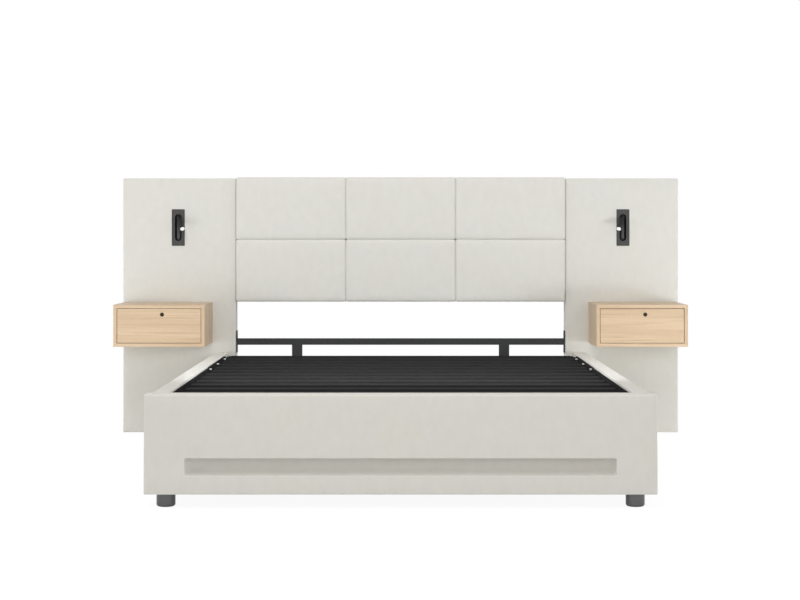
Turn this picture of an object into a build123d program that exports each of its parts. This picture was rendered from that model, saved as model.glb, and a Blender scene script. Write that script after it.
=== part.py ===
from build123d import *
from math import cos, radians, sin
import os

# Upholstered queen-size storage bed with a wide headboard, two floating bedside
# drawers, two recessed reading lamps and a lift-up steel slat deck.
#
# Frame: millimetres, +Z up, origin on the floor at the centre of the plan.
# X runs across the bed, -Y is the foot end, +Y the headboard.

# ---- overall ----
total_depth = 2185.0
head_back_y = total_depth / 2
foot_front_y = -total_depth / 2
touch_gap = 0.3

# ---- upholstery ----
foam = 14.0
lining = 2.0
fabric_turn = 3.0

# ---- feet ----
foot_height = 46.0
foot_radius = 31.0
foot_edge = 8.0
foot_inset_side = 65.0
foot_inset_end = 62.5
middle_foot_y = 350.0

# ---- bed box ----
box_half_width = 830.0
rail_thickness = 60.0
rail_top = 359.0
rail_edge = 5.0
footboard_thickness = 60.0
footboard_rise = 11.5
footboard_edge = 8.0
recess_end_margin = 133.5
recess_bottom = 108.0
recess_height = 54.0
recess_depth = 40.0
recess_corner = 7.0
head_rail_thickness = 25.5
head_rail_top = 220.0

# ---- wings of the headboard ----
wing_lap = 95.0
wing_width = 507.0
wing_height = 1137.0
wing_thickness = 60.0
wing_edge = 9.0

# ---- centre panel with its padded tiles ----
panel_gap = 0.5
panel_bottom = 585.0
panel_top = 1140.0
panel_front_stand = 25.0
panel_board = 48.0
panel_board_edge = 8.0
tile_columns = 3
tile_rows = 2
tile_gap = 0.6
tile_edge = 14.0

# ---- crossbar between the wings ----
crossbar_bottom = 391.0
crossbar_height = 28.0
crossbar_depth = 28.0
crossbar_setback = 3.5
end_plate_thickness = 3.0
end_plate_width = 40.0
end_plate_height = 98.0
end_plate_hole_rise = 34.0
post_x = 463.0
post_width = 46.0
post_thickness = 12.0
post_foot = 100.0
post_screw_rise = 40.0
post_screw_pitch = 60.0

# ---- screws ----
screw_head_radius = 6.0
screw_head_height = 3.0
screw_radius = 3.0
screw_length = 24.0

# ---- corner brackets ----
bracket_leg = 42.0
bracket_height = 110.0
bracket_thickness = 3.0
bracket_bottom = 90.0
bracket_hole_inset = 26.0

# ---- storage box floor ----
cleat = 20.0
floor_panel = 6.0
floor_play = 2.0
beam_width = 50.0
beam_wall = 3.0

# ---- slat deck ----
deck_end_gap = 17.5
deck_play = 4.0
lift_plate = 3.0
angle_wall = 3.0
angle_leg = 41.0
angle_height = 46.0
angle_drop = 2.0
angle_head_inset = 15.0
crop_start = 130.0
crop_run = 60.0
slat_width = 64.0
slat_height = 30.0
slat_wall = 2.0
slat_pitch = 157.0
slat_edge = 3.0
slat_end_gap = 3.0
cap_length = 38.0
cap_wall = 1.5
deck_bar = 24.0
deck_bar_x = 253.0
deck_bar_wall = 2.0
ledge_leg = 40.0
ledge_drop = 36.0

# ---- lifting gear ----
pivot_inset = 95.0
pivot_drop = 15.0
pivot_radius = 6.0
pivot_head_radius = 9.0
pivot_head = 3.0
strut_arm = 210.0
strut_spread = 80.0
running_gap = 0.05
hinge_plate_width = 92.0
hinge_plate_margin = 12.0
lift_arm_drop = 18.0
lift_arm_tail = 25.0
lift_arm_slope = 40.0
stud_count = 3
stud_start = 186.0
stud_pitch = 272.0
stud_drop = 9.0
stud_radius = 4.0
stud_length = 8.5
strut_inset = 32.0
cylinder_radius = 11.0
cylinder_wall = 2.0
cylinder_length = 176.0
cylinder_start = 14.0
gland_length = 8.0
strut_rod_radius = 5.0
strut_rod_tail = 52.0
piston_length = 12.0
eye_radius = 10.0
eye_thickness = 11.0
eye_bore = 4.5
stud_side_gap = 2.0

# ---- bedside drawer units ----
unit_clearance = 11.0
unit_margin = 8.0
unit_bottom = 402.5
unit_height = 180.5
unit_depth = 309.0
board = 15.0
unit_back = 6.0
unit_edge = 1.5
front_gap = 2.0
front_recess = 1.5
runner_width = 12.7
runner_height = 35.0
runner_end_gap = 12.0
runner_wall = 1.5
runner_rise = 30.0
glide_play = 0.6
drawer_side = 12.0
drawer_rise = 12.0
drawer_top_gap = 38.5
drawer_back_gap = 24.5
drawer_base = 5.0
drawer_base_rise = 8.0

# ---- drawer locks ----
lock_shift = 13.0
lock_drop = 25.0
lock_face_radius = 8.75
lock_face = 1.0
lock_body_radius = 7.5
lock_body_behind = 6.0
plug_radius = 5.0
keyway_width = 1.2
keyway_height = 6.0
keyway_depth = 3.0
cam_reach = 32.0
cam_width = 10.0
cam_thickness = 3.0
cam_play = 1.0

# ---- reading lamps ----
lamp_shift = 6.0
lamp_plate_width = 58.0
lamp_plate_height = 163.6
lamp_plate_thickness = 2.5
lamp_plate_drop = 221.0
lamp_plate_corner = 1.5
slot_radius = 14.5
slot_length = 120.0
cup_wall = 2.0
cup_play = 0.5
lamp_pivot_depth = 5.0
tube_side_gap = 4.0
tube_end_gap = 13.5
tube_wall = 1.0
lens_thickness = 3.0
lug_thickness = 6.0
lug_radius = 7.0
lug_side_gap = 0.3
lug_end_gap = 1.5
neck_width = 8.0
neck_top_gap = 2.5
lamp_pin_radius = 2.0
swivel_pin_radius = 2.5
swivel_pin_reach = 7.5
boss_wall = 2.1
lamp_lean = 56.0
lamp_turn = 21.0

# ---- places that follow from the sizes above ----
wing_front_y = head_back_y - wing_thickness
footboard_back_y = foot_front_y + footboard_thickness
rail_inner_x = box_half_width - rail_thickness
footboard_top = rail_top + footboard_rise
recess_half_width = box_half_width - recess_end_margin
wing_inner_x = box_half_width - wing_lap
wing_outer_x = wing_inner_x + wing_width
head_rail_front_y = wing_front_y - head_rail_thickness
panel_half_width = wing_inner_x - panel_gap
tile_front_y = wing_front_y - panel_front_stand
board_front_y = head_back_y - panel_board
angle_top = rail_top - angle_drop
angle_bottom = angle_top - angle_height
deck_top = angle_bottom + angle_wall + slat_height
deck_foot_y = footboard_back_y + deck_end_gap
deck_head_y = wing_front_y - deck_end_gap
slat_count = 1 + int((deck_head_y - deck_foot_y - slat_width) // slat_pitch)
lift_outer_x = rail_inner_x - deck_play
lift_inner_x = lift_outer_x - lift_plate
angle_inner_x = lift_inner_x - angle_wall
unit_inner_x = box_half_width + unit_clearance
unit_width = wing_outer_x - unit_margin - unit_inner_x
unit_front_y = wing_front_y - unit_depth
drawer_height = unit_height - 2 * board - drawer_rise - drawer_top_gap
drawer_length = unit_depth - front_recess - board - unit_back - drawer_back_gap
runner_length = drawer_length - runner_end_gap
lamp_x = wing_inner_x + wing_width / 2 + lamp_shift
lamp_plate_front_y = wing_front_y - lamp_plate_thickness
lamp_pivot_y = lamp_plate_front_y + lamp_pivot_depth
lamp_plate_centre = wing_height - lamp_plate_drop
slot_top_centre = lamp_plate_centre + slot_length / 2 - slot_radius
slot_low_centre = lamp_plate_centre - slot_length / 2 + slot_radius
tube_radius = slot_radius - tube_side_gap
tube_length = slot_length - slot_radius - tube_end_gap
fork_width = lug_thickness + 2 * lug_side_gap
fork_depth = lug_radius + lug_end_gap
swivel_neck_top = slot_radius - neck_top_gap
swivel_pin_top = slot_radius + swivel_pin_reach
boss_top = swivel_pin_top + cup_wall
boss_radius = swivel_pin_radius + boss_wall
pivot_y = deck_head_y - pivot_inset
pivot_z = angle_bottom - pivot_drop
stud_y = [pivot_y - stud_start - index * stud_pitch for index in range(stud_count)]
lift_arm_start = stud_y[-1] - lift_arm_tail
crop_foot_y = pivot_y - crop_start
crop_head_y = crop_foot_y + crop_run
strut_plane = rail_inner_x - strut_inset
strut_low = (pivot_y - strut_arm * cos(radians(strut_spread)),
             pivot_z - strut_arm * sin(radians(strut_spread)))
strut_high = (pivot_y - strut_arm, pivot_z)
strut_rest = 2 * strut_arm * sin(radians(strut_spread / 2))
strut_angle = 90.0 - strut_spread / 2

os.makedirs("parts", exist_ok=True)


def save(name, shapes):
    """Write one named node; a group of pieces stays separate solids."""
    shape = shapes if not isinstance(shapes, list) else Compound(children=shapes)
    shape.label = name
    export_step(shape, f"parts/{name}.step")


def block(low, high):
    """Box from its lowest and highest corners, given in any order."""
    size = [abs(b - a) for a, b in zip(low, high)]
    middle = [(a + b) / 2 for a, b in zip(low, high)]
    return Pos(*middle) * Box(*size)


def soft_block(low, high, radius):
    """Box with every edge rolled over, as stretched fabric on foam."""
    body = block(low, high)
    return fillet(body.edges(), radius)


def rod_x(x_a, x_b, y, z, radius):
    """Round bar along X."""
    return Pos((x_a + x_b) / 2, y, z) * Rot(0, 90, 0) * Cylinder(radius, abs(x_b - x_a))


def rod_y(x, y_a, y_b, z, radius):
    """Round bar along Y."""
    return Pos(x, (y_a + y_b) / 2, z) * Rot(90, 0, 0) * Cylinder(radius, abs(y_b - y_a))


def rod_z(x, y, z_a, z_b, radius):
    """Round bar along Z."""
    return Pos(x, y, (z_a + z_b) / 2) * Cylinder(radius, abs(z_b - z_a))


def box_tube(low, high, wall, along):
    """Square tube along one axis, open at both ends."""
    inner_low = [v + wall for v in low]
    inner_high = [v - wall for v in high]
    inner_low[along] = low[along] - wall
    inner_high[along] = high[along] + wall
    return block(low, high) - block(inner_low, inner_high)


def plate_yz(outline, x_a, x_b):
    """Flat plate cut to an outline in the Y-Z plane, between two X values."""
    face = make_face(Polyline(*[(0, y, z) for y, z in outline], close=True))
    return Pos(min(x_a, x_b), 0, 0) * extrude(face, abs(x_b - x_a), dir=(1, 0, 0))


def screw(x, y, z, direction):
    """Button-head screw seated at a point, its shank driven along a direction."""
    head = Pos(0, 0, screw_head_height / 2) * Cylinder(screw_head_radius, screw_head_height)
    head = chamfer(head.edges().group_by(Axis.Z)[-1], screw_head_height / 2)
    shank = Pos(0, 0, -screw_length / 2) * Cylinder(screw_radius, screw_length)
    turn = {"+x": Rot(0, -90, 0), "-x": Rot(0, 90, 0), "+y": Rot(90, 0, 0), "-y": Rot(-90, 0, 0)}
    return Pos(x, y, z) * turn[direction] * (head + shank)


# ---------------------------------------------------------------- fasteners
def bracket_screws(side, end_y, away):
    """Four screws of one corner bracket: two into the rail, two into the end board."""
    heights = (bracket_bottom + bracket_hole_inset, bracket_bottom + bracket_height - bracket_hole_inset)
    reach = bracket_hole_inset
    rail_face = side * (rail_inner_x - bracket_thickness)
    into_rail = "+x" if side > 0 else "-x"
    into_end = "+y" if away < 0 else "-y"
    screws = []
    for z in heights:
        screws.append(screw(rail_face, end_y + away * reach, z, into_rail))
        screws.append(screw(side * (rail_inner_x - reach), end_y + away * bracket_thickness, z, into_end))
    return screws


crossbar_front_y = wing_front_y + crossbar_setback
crossbar_middle_z = crossbar_bottom + crossbar_height / 2
end_plate_y = wing_front_y + end_plate_width / 2
corner_screws = []
for side in (-1, 1):
    corner_screws += bracket_screws(side, footboard_back_y, 1)
    corner_screws += bracket_screws(side, head_rail_front_y, -1)
crossbar_screws = []
for side in (-1, 1):
    for rise in (-end_plate_hole_rise, end_plate_hole_rise):
        crossbar_screws.append(
            screw(side * (wing_inner_x - end_plate_thickness), end_plate_y, crossbar_middle_z + rise,
                  "+x" if side > 0 else "-x"))
post_screws = []
for side in (-1, 1):
    for rise in (post_screw_rise, post_screw_rise + post_screw_pitch):
        post_screws.append(screw(side * post_x, wing_front_y + post_thickness, post_foot + rise, "-y"))
frame_screws = corner_screws + crossbar_screws + post_screws
save("frame_screws", frame_screws)


def drilled(shape, screws):
    """Cut the screw holes that reach a piece of timber, fabric or steel."""
    for fastener in screws:
        shape = shape - fastener
    return shape


# ---------------------------------------------------------------- feet
def foot(x, y):
    """Turned foot with a softened lower edge."""
    body = rod_z(x, y, 0, foot_height, foot_radius)
    return fillet(body.edges().group_by(Axis.Z)[0], foot_edge)


side_foot_x = box_half_width - foot_inset_side
front_foot_y = foot_front_y + foot_inset_end
rear_foot_y = wing_front_y - foot_inset_end
foot_places = [(-side_foot_x, front_foot_y), (side_foot_x, front_foot_y),
               (-side_foot_x, rear_foot_y), (side_foot_x, rear_foot_y),
               (0, -middle_foot_y), (0, middle_foot_y)]
save("feet", [foot(x, y) for x, y in foot_places])


# ---------------------------------------------------------------- footboard
def recess_block(grow):
    """The long shallow recess, or the room it takes with its lining."""
    low = (-recess_half_width - grow, foot_front_y - foam, recess_bottom - grow)
    high = (recess_half_width + grow, foot_front_y + recess_depth + grow,
            recess_bottom + recess_height + grow)
    body = block(low, high)
    return fillet(body.edges().filter_by(Axis.Y), recess_corner)


footboard_core = block(
    (-box_half_width + foam, foot_front_y + foam, foot_height + foam),
    (box_half_width - foam, footboard_back_y - lining, footboard_top - foam))
footboard_core = footboard_core - recess_block(fabric_turn)
footboard_shell = soft_block(
    (-box_half_width, foot_front_y, foot_height),
    (box_half_width, footboard_back_y, footboard_top), footboard_edge)
footboard_shell = footboard_shell - recess_block(0) - footboard_core
save("footboard_core", drilled(footboard_core, corner_screws))
save("footboard_cover", drilled(footboard_shell, corner_screws))

# ---------------------------------------------------------------- side rails
rail_cores = []
rail_covers = {}
for side in (-1, 1):
    core = block(
        (side * (rail_inner_x + lining), footboard_back_y + lining, foot_height + foam),
        (side * (box_half_width - foam), wing_front_y - lining, rail_top - foam))
    cover = block(
        (side * rail_inner_x, footboard_back_y, foot_height),
        (side * box_half_width, wing_front_y, rail_top))
    cover = fillet(cover.edges().filter_by(Axis.Y), rail_edge) - core
    rail_cores.append(drilled(core, corner_screws))
    rail_covers[side] = drilled(cover, corner_screws)
save("rail_cores", rail_cores)
save("left_rail_cover", rail_covers[-1])
save("right_rail_cover", rail_covers[1])

head_rail = block(
    (-rail_inner_x, head_rail_front_y, foot_height),
    (rail_inner_x, wing_front_y, head_rail_top))
save("head_rail", drilled(head_rail, corner_screws + post_screws))


# ---------------------------------------------------------------- corner brackets
def corner_bracket(side, end_y, away):
    """Folded steel angle in an inside corner of the bed box."""
    z_low, z_high = bracket_bottom, bracket_bottom + bracket_height
    rail_leg = block(
        (side * rail_inner_x, end_y, z_low),
        (side * (rail_inner_x - bracket_thickness), end_y + away * bracket_leg, z_high))
    end_leg = block(
        (side * rail_inner_x, end_y, z_low),
        (side * (rail_inner_x - bracket_leg), end_y + away * bracket_thickness, z_high))
    return rail_leg + end_leg


corner_brackets = []
for side in (-1, 1):
    for end_y, away in ((footboard_back_y, 1), (head_rail_front_y, -1)):
        bracket = corner_bracket(side, end_y, away)
        corner_brackets.append(drilled(bracket, bracket_screws(side, end_y, away)))
save("corner_brackets", corner_brackets)

# ---------------------------------------------------------------- storage box floor
floor_z = foot_height + 2 * floor_play + cleat
centre_beam = box_tube(
    [-beam_width / 2, footboard_back_y, foot_height],
    [beam_width / 2, head_rail_front_y, floor_z], beam_wall, 1)
save("centre_beam", centre_beam)
floor_cleats = []
floor_panels = []
for side in (-1, 1):
    floor_cleats.append(block(
        (side * (rail_inner_x - cleat), footboard_back_y, floor_z - cleat),
        (side * rail_inner_x, head_rail_front_y, floor_z)))
    floor_panels.append(block(
        (side * floor_play / 2, footboard_back_y + floor_play, floor_z),
        (side * (rail_inner_x - floor_play), head_rail_front_y - floor_play, floor_z + floor_panel)))
save("floor_cleats", floor_cleats)
save("storage_floor", floor_panels)


# ---------------------------------------------------------------- headboard wings
def lamp_pill(radius, front_y):
    """Upright pill-shaped trough behind the lamp plate, round at the back."""
    trough = rod_z(0, lamp_pivot_y, slot_low_centre, slot_top_centre, radius)
    trough += Pos(0, lamp_pivot_y, slot_top_centre) * Sphere(radius)
    trough += Pos(0, lamp_pivot_y, slot_low_centre) * Sphere(radius)
    mouth = block((-radius, front_y, slot_low_centre), (radius, lamp_pivot_y, slot_top_centre))
    mouth += rod_y(0, front_y, lamp_pivot_y, slot_top_centre, radius)
    mouth += rod_y(0, front_y, lamp_pivot_y, slot_low_centre, radius)
    return trough + mouth


cup_radius = slot_radius + cup_wall
cup_room = lamp_pill(cup_radius + cup_play, lamp_plate_front_y - cup_radius)
cup_room += rod_z(0, lamp_pivot_y, slot_top_centre, slot_top_centre + boss_top + cup_play,
                  boss_radius + cup_play)
wing_cores = []
for side in (-1, 1):
    room = Pos(side * lamp_x, 0, 0) * cup_room
    core = block(
        (side * (wing_inner_x + foam), wing_front_y + foam, foam),
        (side * (wing_outer_x - foam), head_back_y - lining, wing_height - foam))
    cover = soft_block(
        (side * wing_inner_x, wing_front_y, 0),
        (side * wing_outer_x, head_back_y, wing_height), wing_edge)
    wing_cores.append(drilled(core - room, crossbar_screws))
    save("left_wing_cover" if side < 0 else "right_wing_cover",
         drilled(cover - core - room, crossbar_screws))
save("wing_cores", wing_cores)

# ---------------------------------------------------------------- centre panel
centre_board = block(
    (-panel_half_width, board_front_y, panel_bottom),
    (panel_half_width, head_back_y, panel_top))
centre_board = fillet(centre_board.edges().group_by(Axis.Y)[-1], panel_board_edge)
save("centre_panel_board", centre_board)
tile_width = 2 * panel_half_width / tile_columns
tile_height = (panel_top - panel_bottom) / tile_rows
row_names = ("lower", "upper")
column_names = ("left", "middle", "right")
for row in range(tile_rows):
    for column in range(tile_columns):
        x_low = -panel_half_width + column * tile_width
        z_low = panel_bottom + row * tile_height
        tile = block(
            (x_low + tile_gap / 2, tile_front_y, z_low + tile_gap / 2),
            (x_low + tile_width - tile_gap / 2, board_front_y, z_low + tile_height - tile_gap / 2))
        front = tile.edges().group_by(Axis.Y)[0]
        tile = fillet(front, tile_edge)
        save(f"pad_{row_names[row]}_{column_names[column]}", tile)

# ---------------------------------------------------------------- crossbar
crossbar_half = wing_inner_x - end_plate_thickness
crossbar = box_tube(
    [-crossbar_half, crossbar_front_y, crossbar_bottom],
    [crossbar_half, crossbar_front_y + crossbar_depth, crossbar_bottom + crossbar_height],
    deck_bar_wall, 0)
crossbar_pieces = [crossbar]
for side in (-1, 1):
    end_plate = block(
        (side * crossbar_half, wing_front_y, crossbar_middle_z - end_plate_height / 2),
        (side * wing_inner_x, wing_front_y + end_plate_width, crossbar_middle_z + end_plate_height / 2))
    crossbar_pieces.append(drilled(end_plate, crossbar_screws))
    post = block(
        (side * post_x - post_width / 2, wing_front_y, post_foot),
        (side * post_x + post_width / 2, wing_front_y + post_thickness, crossbar_bottom))
    crossbar_pieces.append(drilled(post, post_screws))
save("headboard_crossbar", crossbar_pieces)

# ---------------------------------------------------------------- slat deck
slat_half = angle_inner_x - slat_end_gap
angle_head_y = deck_head_y - angle_head_inset
flange_outline = [
    (deck_foot_y, angle_bottom), (angle_head_y, angle_bottom), (angle_head_y, deck_top),
    (crop_head_y, deck_top), (crop_foot_y, angle_top), (deck_foot_y, angle_top)]
deck_angles = []
for side in (-1, 1):
    flange = plate_yz(flange_outline, side * angle_inner_x, side * lift_inner_x)
    leg = block(
        (side * (lift_inner_x - angle_leg), deck_foot_y, angle_bottom),
        (side * angle_inner_x, angle_head_y, angle_bottom + angle_wall))
    deck_angles.append(flange + leg)

deck_bar_top = angle_bottom + angle_wall
leg_edge_x = lift_inner_x - angle_leg
deck_bars = []
for y_low in (deck_foot_y, deck_head_y - deck_bar):
    deck_bars.append(box_tube(
        [-leg_edge_x, y_low, deck_bar_top - deck_bar],
        [leg_edge_x, y_low + deck_bar, deck_bar_top], deck_bar_wall, 0))
for x in (-deck_bar_x, deck_bar_x):
    deck_bars.append(box_tube(
        [x - deck_bar / 2, deck_foot_y + deck_bar, deck_bar_top - deck_bar],
        [x + deck_bar / 2, deck_head_y - deck_bar, deck_bar_top], deck_bar_wall, 1))
save("deck_bars", deck_bars)


def slat(y):
    """Steel slat: a channel folded down at both long edges."""
    low = (-slat_half + cap_wall, y - slat_width / 2, deck_bar_top)
    high = (slat_half - cap_wall, y + slat_width / 2, deck_top)
    body = block(low, high)
    top_edges = body.edges().filter_by(Axis.X).group_by(Axis.Z)[-1]
    body = fillet(top_edges, slat_edge)
    hollow = block(
        (low[0] - cap_wall, low[1] + slat_wall, low[2] - slat_wall),
        (high[0] + cap_wall, high[1] - slat_wall, high[2] - slat_wall))
    return body - hollow


def slat_cap(side, y):
    """Plastic shoe pushed into the end of a slat, resting on the side angle."""
    plug = block(
        (side * (slat_half - cap_length), y - slat_width / 2 + slat_wall, deck_bar_top),
        (side * (slat_half - cap_wall), y + slat_width / 2 - slat_wall, deck_top - slat_wall))
    lip = block(
        (side * (slat_half - cap_wall), y - slat_width / 2, deck_bar_top),
        (side * slat_half, y + slat_width / 2, deck_top - slat_edge))
    return plug + lip


first_slat_y = deck_head_y - slat_width / 2
slat_places = [first_slat_y - index * slat_pitch for index in range(slat_count)]
save("slats", [slat(y) for y in slat_places])
save("slat_caps", [slat_cap(side, y) for y in slat_places for side in (-1, 1)])

# ---------------------------------------------------------------- lifting gear
stud_z = angle_top - stud_drop
lift_arm_low = pivot_z - lift_arm_drop
arm_outline = [
    (lift_arm_start, angle_bottom), (strut_high[0] - lift_arm_tail - lift_arm_slope, angle_bottom),
    (strut_high[0] - lift_arm_tail, lift_arm_low), (pivot_y + lift_arm_tail, lift_arm_low),
    (pivot_y + lift_arm_tail, deck_top), (crop_head_y, deck_top), (crop_foot_y, angle_top),
    (lift_arm_start, angle_top)]
stud_end_x = strut_plane + eye_thickness / 2 + stud_side_gap
lift_arms = []
lift_studs = []
hinge_plates = []
for side in (-1, 1):
    arm = plate_yz(arm_outline, side * lift_inner_x, side * lift_outer_x)
    arm -= rod_x(side * rail_inner_x, side * angle_inner_x, pivot_y, pivot_z, pivot_radius + running_gap)
    studs = [rod_x(side * (lift_inner_x - angle_wall - stud_length), side * lift_outer_x, y, stud_z,
                   stud_radius) for y in stud_y]
    strut_stud = rod_x(side * stud_end_x, side * lift_outer_x, *strut_high, eye_bore - running_gap)
    for pin in studs + [strut_stud]:
        arm -= pin
    for pin in studs:
        deck_angles[(side + 1) // 2] -= pin
    lift_arms.append(arm)
    lift_studs += studs + [strut_stud]

    plate_low = strut_low[1] - hinge_plate_margin
    plate_high = pivot_z + 2 * hinge_plate_margin
    plate_front = strut_low[0] - hinge_plate_margin
    plate = block(
        (side * (rail_inner_x - lift_plate), plate_front, plate_low),
        (side * rail_inner_x, plate_front + hinge_plate_width, plate_high))
    pivot_inner_x = angle_inner_x - pivot_head
    plate += rod_x(side * (rail_inner_x - lift_plate), side * pivot_inner_x, pivot_y, pivot_z,
                   pivot_radius)
    plate += rod_x(side * angle_inner_x, side * pivot_inner_x, pivot_y, pivot_z, pivot_head_radius)
    plate += rod_x(side * (rail_inner_x - lift_plate), side * (strut_plane + eye_thickness / 2 + touch_gap),
                   *strut_low, pivot_head_radius)
    plate += rod_x(side * rail_inner_x, side * (strut_plane - eye_thickness / 2 - touch_gap), *strut_low,
                   eye_bore - running_gap)
    hinge_plates.append(plate)
save("deck_side_angles", deck_angles)
save("lift_arms", lift_arms)
save("lift_studs", lift_studs)
save("hinge_plates", hinge_plates)


def along_strut(side, shape):
    """Carry a piece modelled along +Z from the lower pivot to its leaning place."""
    return Pos(side * strut_plane, *strut_low) * Rot(90 - strut_angle, 0, 0) * shape


def strut_eye(height):
    """Flat round eye across the strut at a height along it."""
    return rod_x(-eye_thickness / 2, eye_thickness / 2, 0, height, eye_radius)


for side, name in ((-1, "left"), (1, "right")):
    cylinder_end = cylinder_start + cylinder_length
    cylinder = rod_z(0, 0, cylinder_start, cylinder_end, cylinder_radius)
    cylinder -= rod_z(0, 0, cylinder_start + gland_length, cylinder_end - gland_length,
                      cylinder_radius - cylinder_wall)
    cylinder -= rod_z(0, 0, cylinder_end - 2 * gland_length, cylinder_end + gland_length,
                      strut_rod_radius + running_gap)
    cylinder += strut_eye(0) + rod_z(0, 0, eye_bore + cylinder_wall, cylinder_start, strut_rod_radius)
    cylinder -= rod_x(-eye_thickness, eye_thickness, 0, 0, eye_bore)
    save(f"{name}_strut_cylinder", along_strut(side, cylinder))
    rod = rod_z(0, 0, strut_rod_tail, strut_rest - eye_radius / 2, strut_rod_radius)
    rod += rod_z(0, 0, strut_rod_tail, strut_rod_tail + piston_length,
                 cylinder_radius - cylinder_wall - running_gap)
    rod += strut_eye(strut_rest)
    save(f"{name}_strut_rod", along_strut(side, rod))

# ---------------------------------------------------------------- deck ledges
ledge_top = angle_bottom - touch_gap
ledge_head_y = lift_arm_start
deck_ledges = []
for side in (-1, 1):
    upright = block(
        (side * (rail_inner_x - angle_wall), footboard_back_y, ledge_top - ledge_drop),
        (side * rail_inner_x, ledge_head_y, ledge_top))
    shelf = block(
        (side * (rail_inner_x - ledge_leg), footboard_back_y, ledge_top - angle_wall),
        (side * rail_inner_x, ledge_head_y, ledge_top))
    deck_ledges.append(upright + shelf)
save("deck_ledges", deck_ledges)


# ---------------------------------------------------------------- bedside drawer units
def drawer_unit(side, name):
    """Floating mitred case, its drawer on side runners, and the drawer lock."""
    x_in, x_out = side * unit_inner_x, side * (unit_inner_x + unit_width)
    x_low, x_high = min(x_in, x_out), max(x_in, x_out)
    z_low, z_high = unit_bottom, unit_bottom + unit_height
    middle_x = (x_low + x_high) / 2

    front_y = unit_front_y + front_recess
    front_back_y = front_y + board
    lock_x = middle_x + lock_shift
    lock_z = z_high - board - front_gap - lock_drop
    cam_y = front_back_y + lock_body_behind + cam_play

    case = block((x_low, unit_front_y, z_low), (x_high, wing_front_y, z_high))
    case = fillet(case.edges().group_by(Axis.Y)[0], unit_edge)
    case -= block((x_low + board, unit_front_y - board, z_low + board),
                  (x_high - board, wing_front_y + board, z_high - board))
    mortise_top = lock_z + cam_reach + cam_play
    case -= block((lock_x - cam_width / 2 - cam_play, cam_y - cam_play, z_high - board - cam_play),
                  (lock_x + cam_reach - cam_width, cam_y + cam_thickness + cam_play, mortise_top))
    save(f"{name}_unit_case", case)
    unit_backs.append(block((x_low + board, wing_front_y - unit_back, z_low + board),
                            (x_high - board, wing_front_y, z_high - board)))

    # drawer front, inset between the boards
    front = block(
        (x_low + board + front_gap, front_y, z_low + board + front_gap),
        (x_high - board - front_gap, front_back_y, z_high - board - front_gap))
    front = fillet(front.edges().group_by(Axis.Y)[0], unit_edge / 2)
    front -= rod_y(lock_x, front_y - board, front_back_y + board, lock_z, lock_body_radius)
    save(f"{name}_drawer_front", front)

    # runners on the case and glides on the drawer
    runner_low = z_low + board + runner_rise
    runner_y = front_back_y + front_gap
    glide_low = runner_low + runner_wall + glide_play
    glide_high = runner_low + runner_height - runner_wall - glide_play
    glides = []
    for hand in (-1, 1):
        wall_x = middle_x + hand * (unit_width / 2 - board)
        drawer_x = wall_x - hand * runner_width
        channel = block((wall_x, runner_y, runner_low),
                        (drawer_x + hand * glide_play, runner_y + runner_length, runner_low + runner_height))
        channel -= block((wall_x - hand * runner_wall, runner_y - board, runner_low + runner_wall),
                         (drawer_x - hand * runner_wall, runner_y + runner_length + board,
                          runner_low + runner_height - runner_wall))
        case_runners.append(channel)
        glides.append(block((wall_x - hand * (runner_wall + glide_play), runner_y, glide_low),
                            (drawer_x, runner_y + runner_length, glide_high)))
    save(f"{name}_drawer_glides", glides)

    # three-sided drawer box behind the front, and its bottom
    half = unit_width / 2 - board - runner_width
    base_z = z_low + board + drawer_rise
    outer = block((middle_x - half, front_back_y, base_z),
                  (middle_x + half, front_back_y + drawer_length, base_z + drawer_height))
    inner = block((middle_x - half + drawer_side, front_back_y - board, base_z - board),
                  (middle_x + half - drawer_side, front_back_y + drawer_length - drawer_side,
                   base_z + drawer_height + board))
    save(f"{name}_drawer_box", outer - inner)
    save(f"{name}_drawer_bottom", block(
        (middle_x - half + drawer_side, front_back_y, base_z + drawer_base_rise),
        (middle_x + half - drawer_side, front_back_y + drawer_length - drawer_side,
         base_z + drawer_base_rise + drawer_base)))

    # lock: a fixed barrel, and the plug with its cam that swings up into the mortise
    barrel = rod_y(lock_x, front_y, front_back_y + lock_body_behind, lock_z, lock_body_radius)
    face = rod_y(lock_x, front_y - lock_face, front_y, lock_z, lock_face_radius)
    face = fillet(face.edges().group_by(Axis.Y)[0], lock_face / 2)
    barrel += face
    barrel -= rod_y(lock_x, front_y - board, cam_y, lock_z, plug_radius + running_gap)
    save(f"{name}_lock_barrel", barrel)
    plug = rod_y(lock_x, front_y - lock_face / 2, cam_y + cam_thickness, lock_z, plug_radius)
    plug -= block((lock_x - keyway_width / 2, front_y - lock_face, lock_z - keyway_height / 2),
                  (lock_x + keyway_width / 2, front_y + keyway_depth, lock_z + keyway_height / 2))
    cam = block((lock_x, cam_y, lock_z - cam_width / 2),
                (lock_x + cam_reach - cam_width / 2, cam_y + cam_thickness, lock_z + cam_width / 2))
    cam += rod_y(lock_x + cam_reach - cam_width / 2, cam_y, cam_y + cam_thickness, lock_z, cam_width / 2)
    save(f"{name}_lock_plug", plug + cam)


unit_backs = []
case_runners = []
drawer_unit(-1, "left")
drawer_unit(1, "right")
save("unit_backs", unit_backs)
save("case_runners", case_runners)


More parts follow.
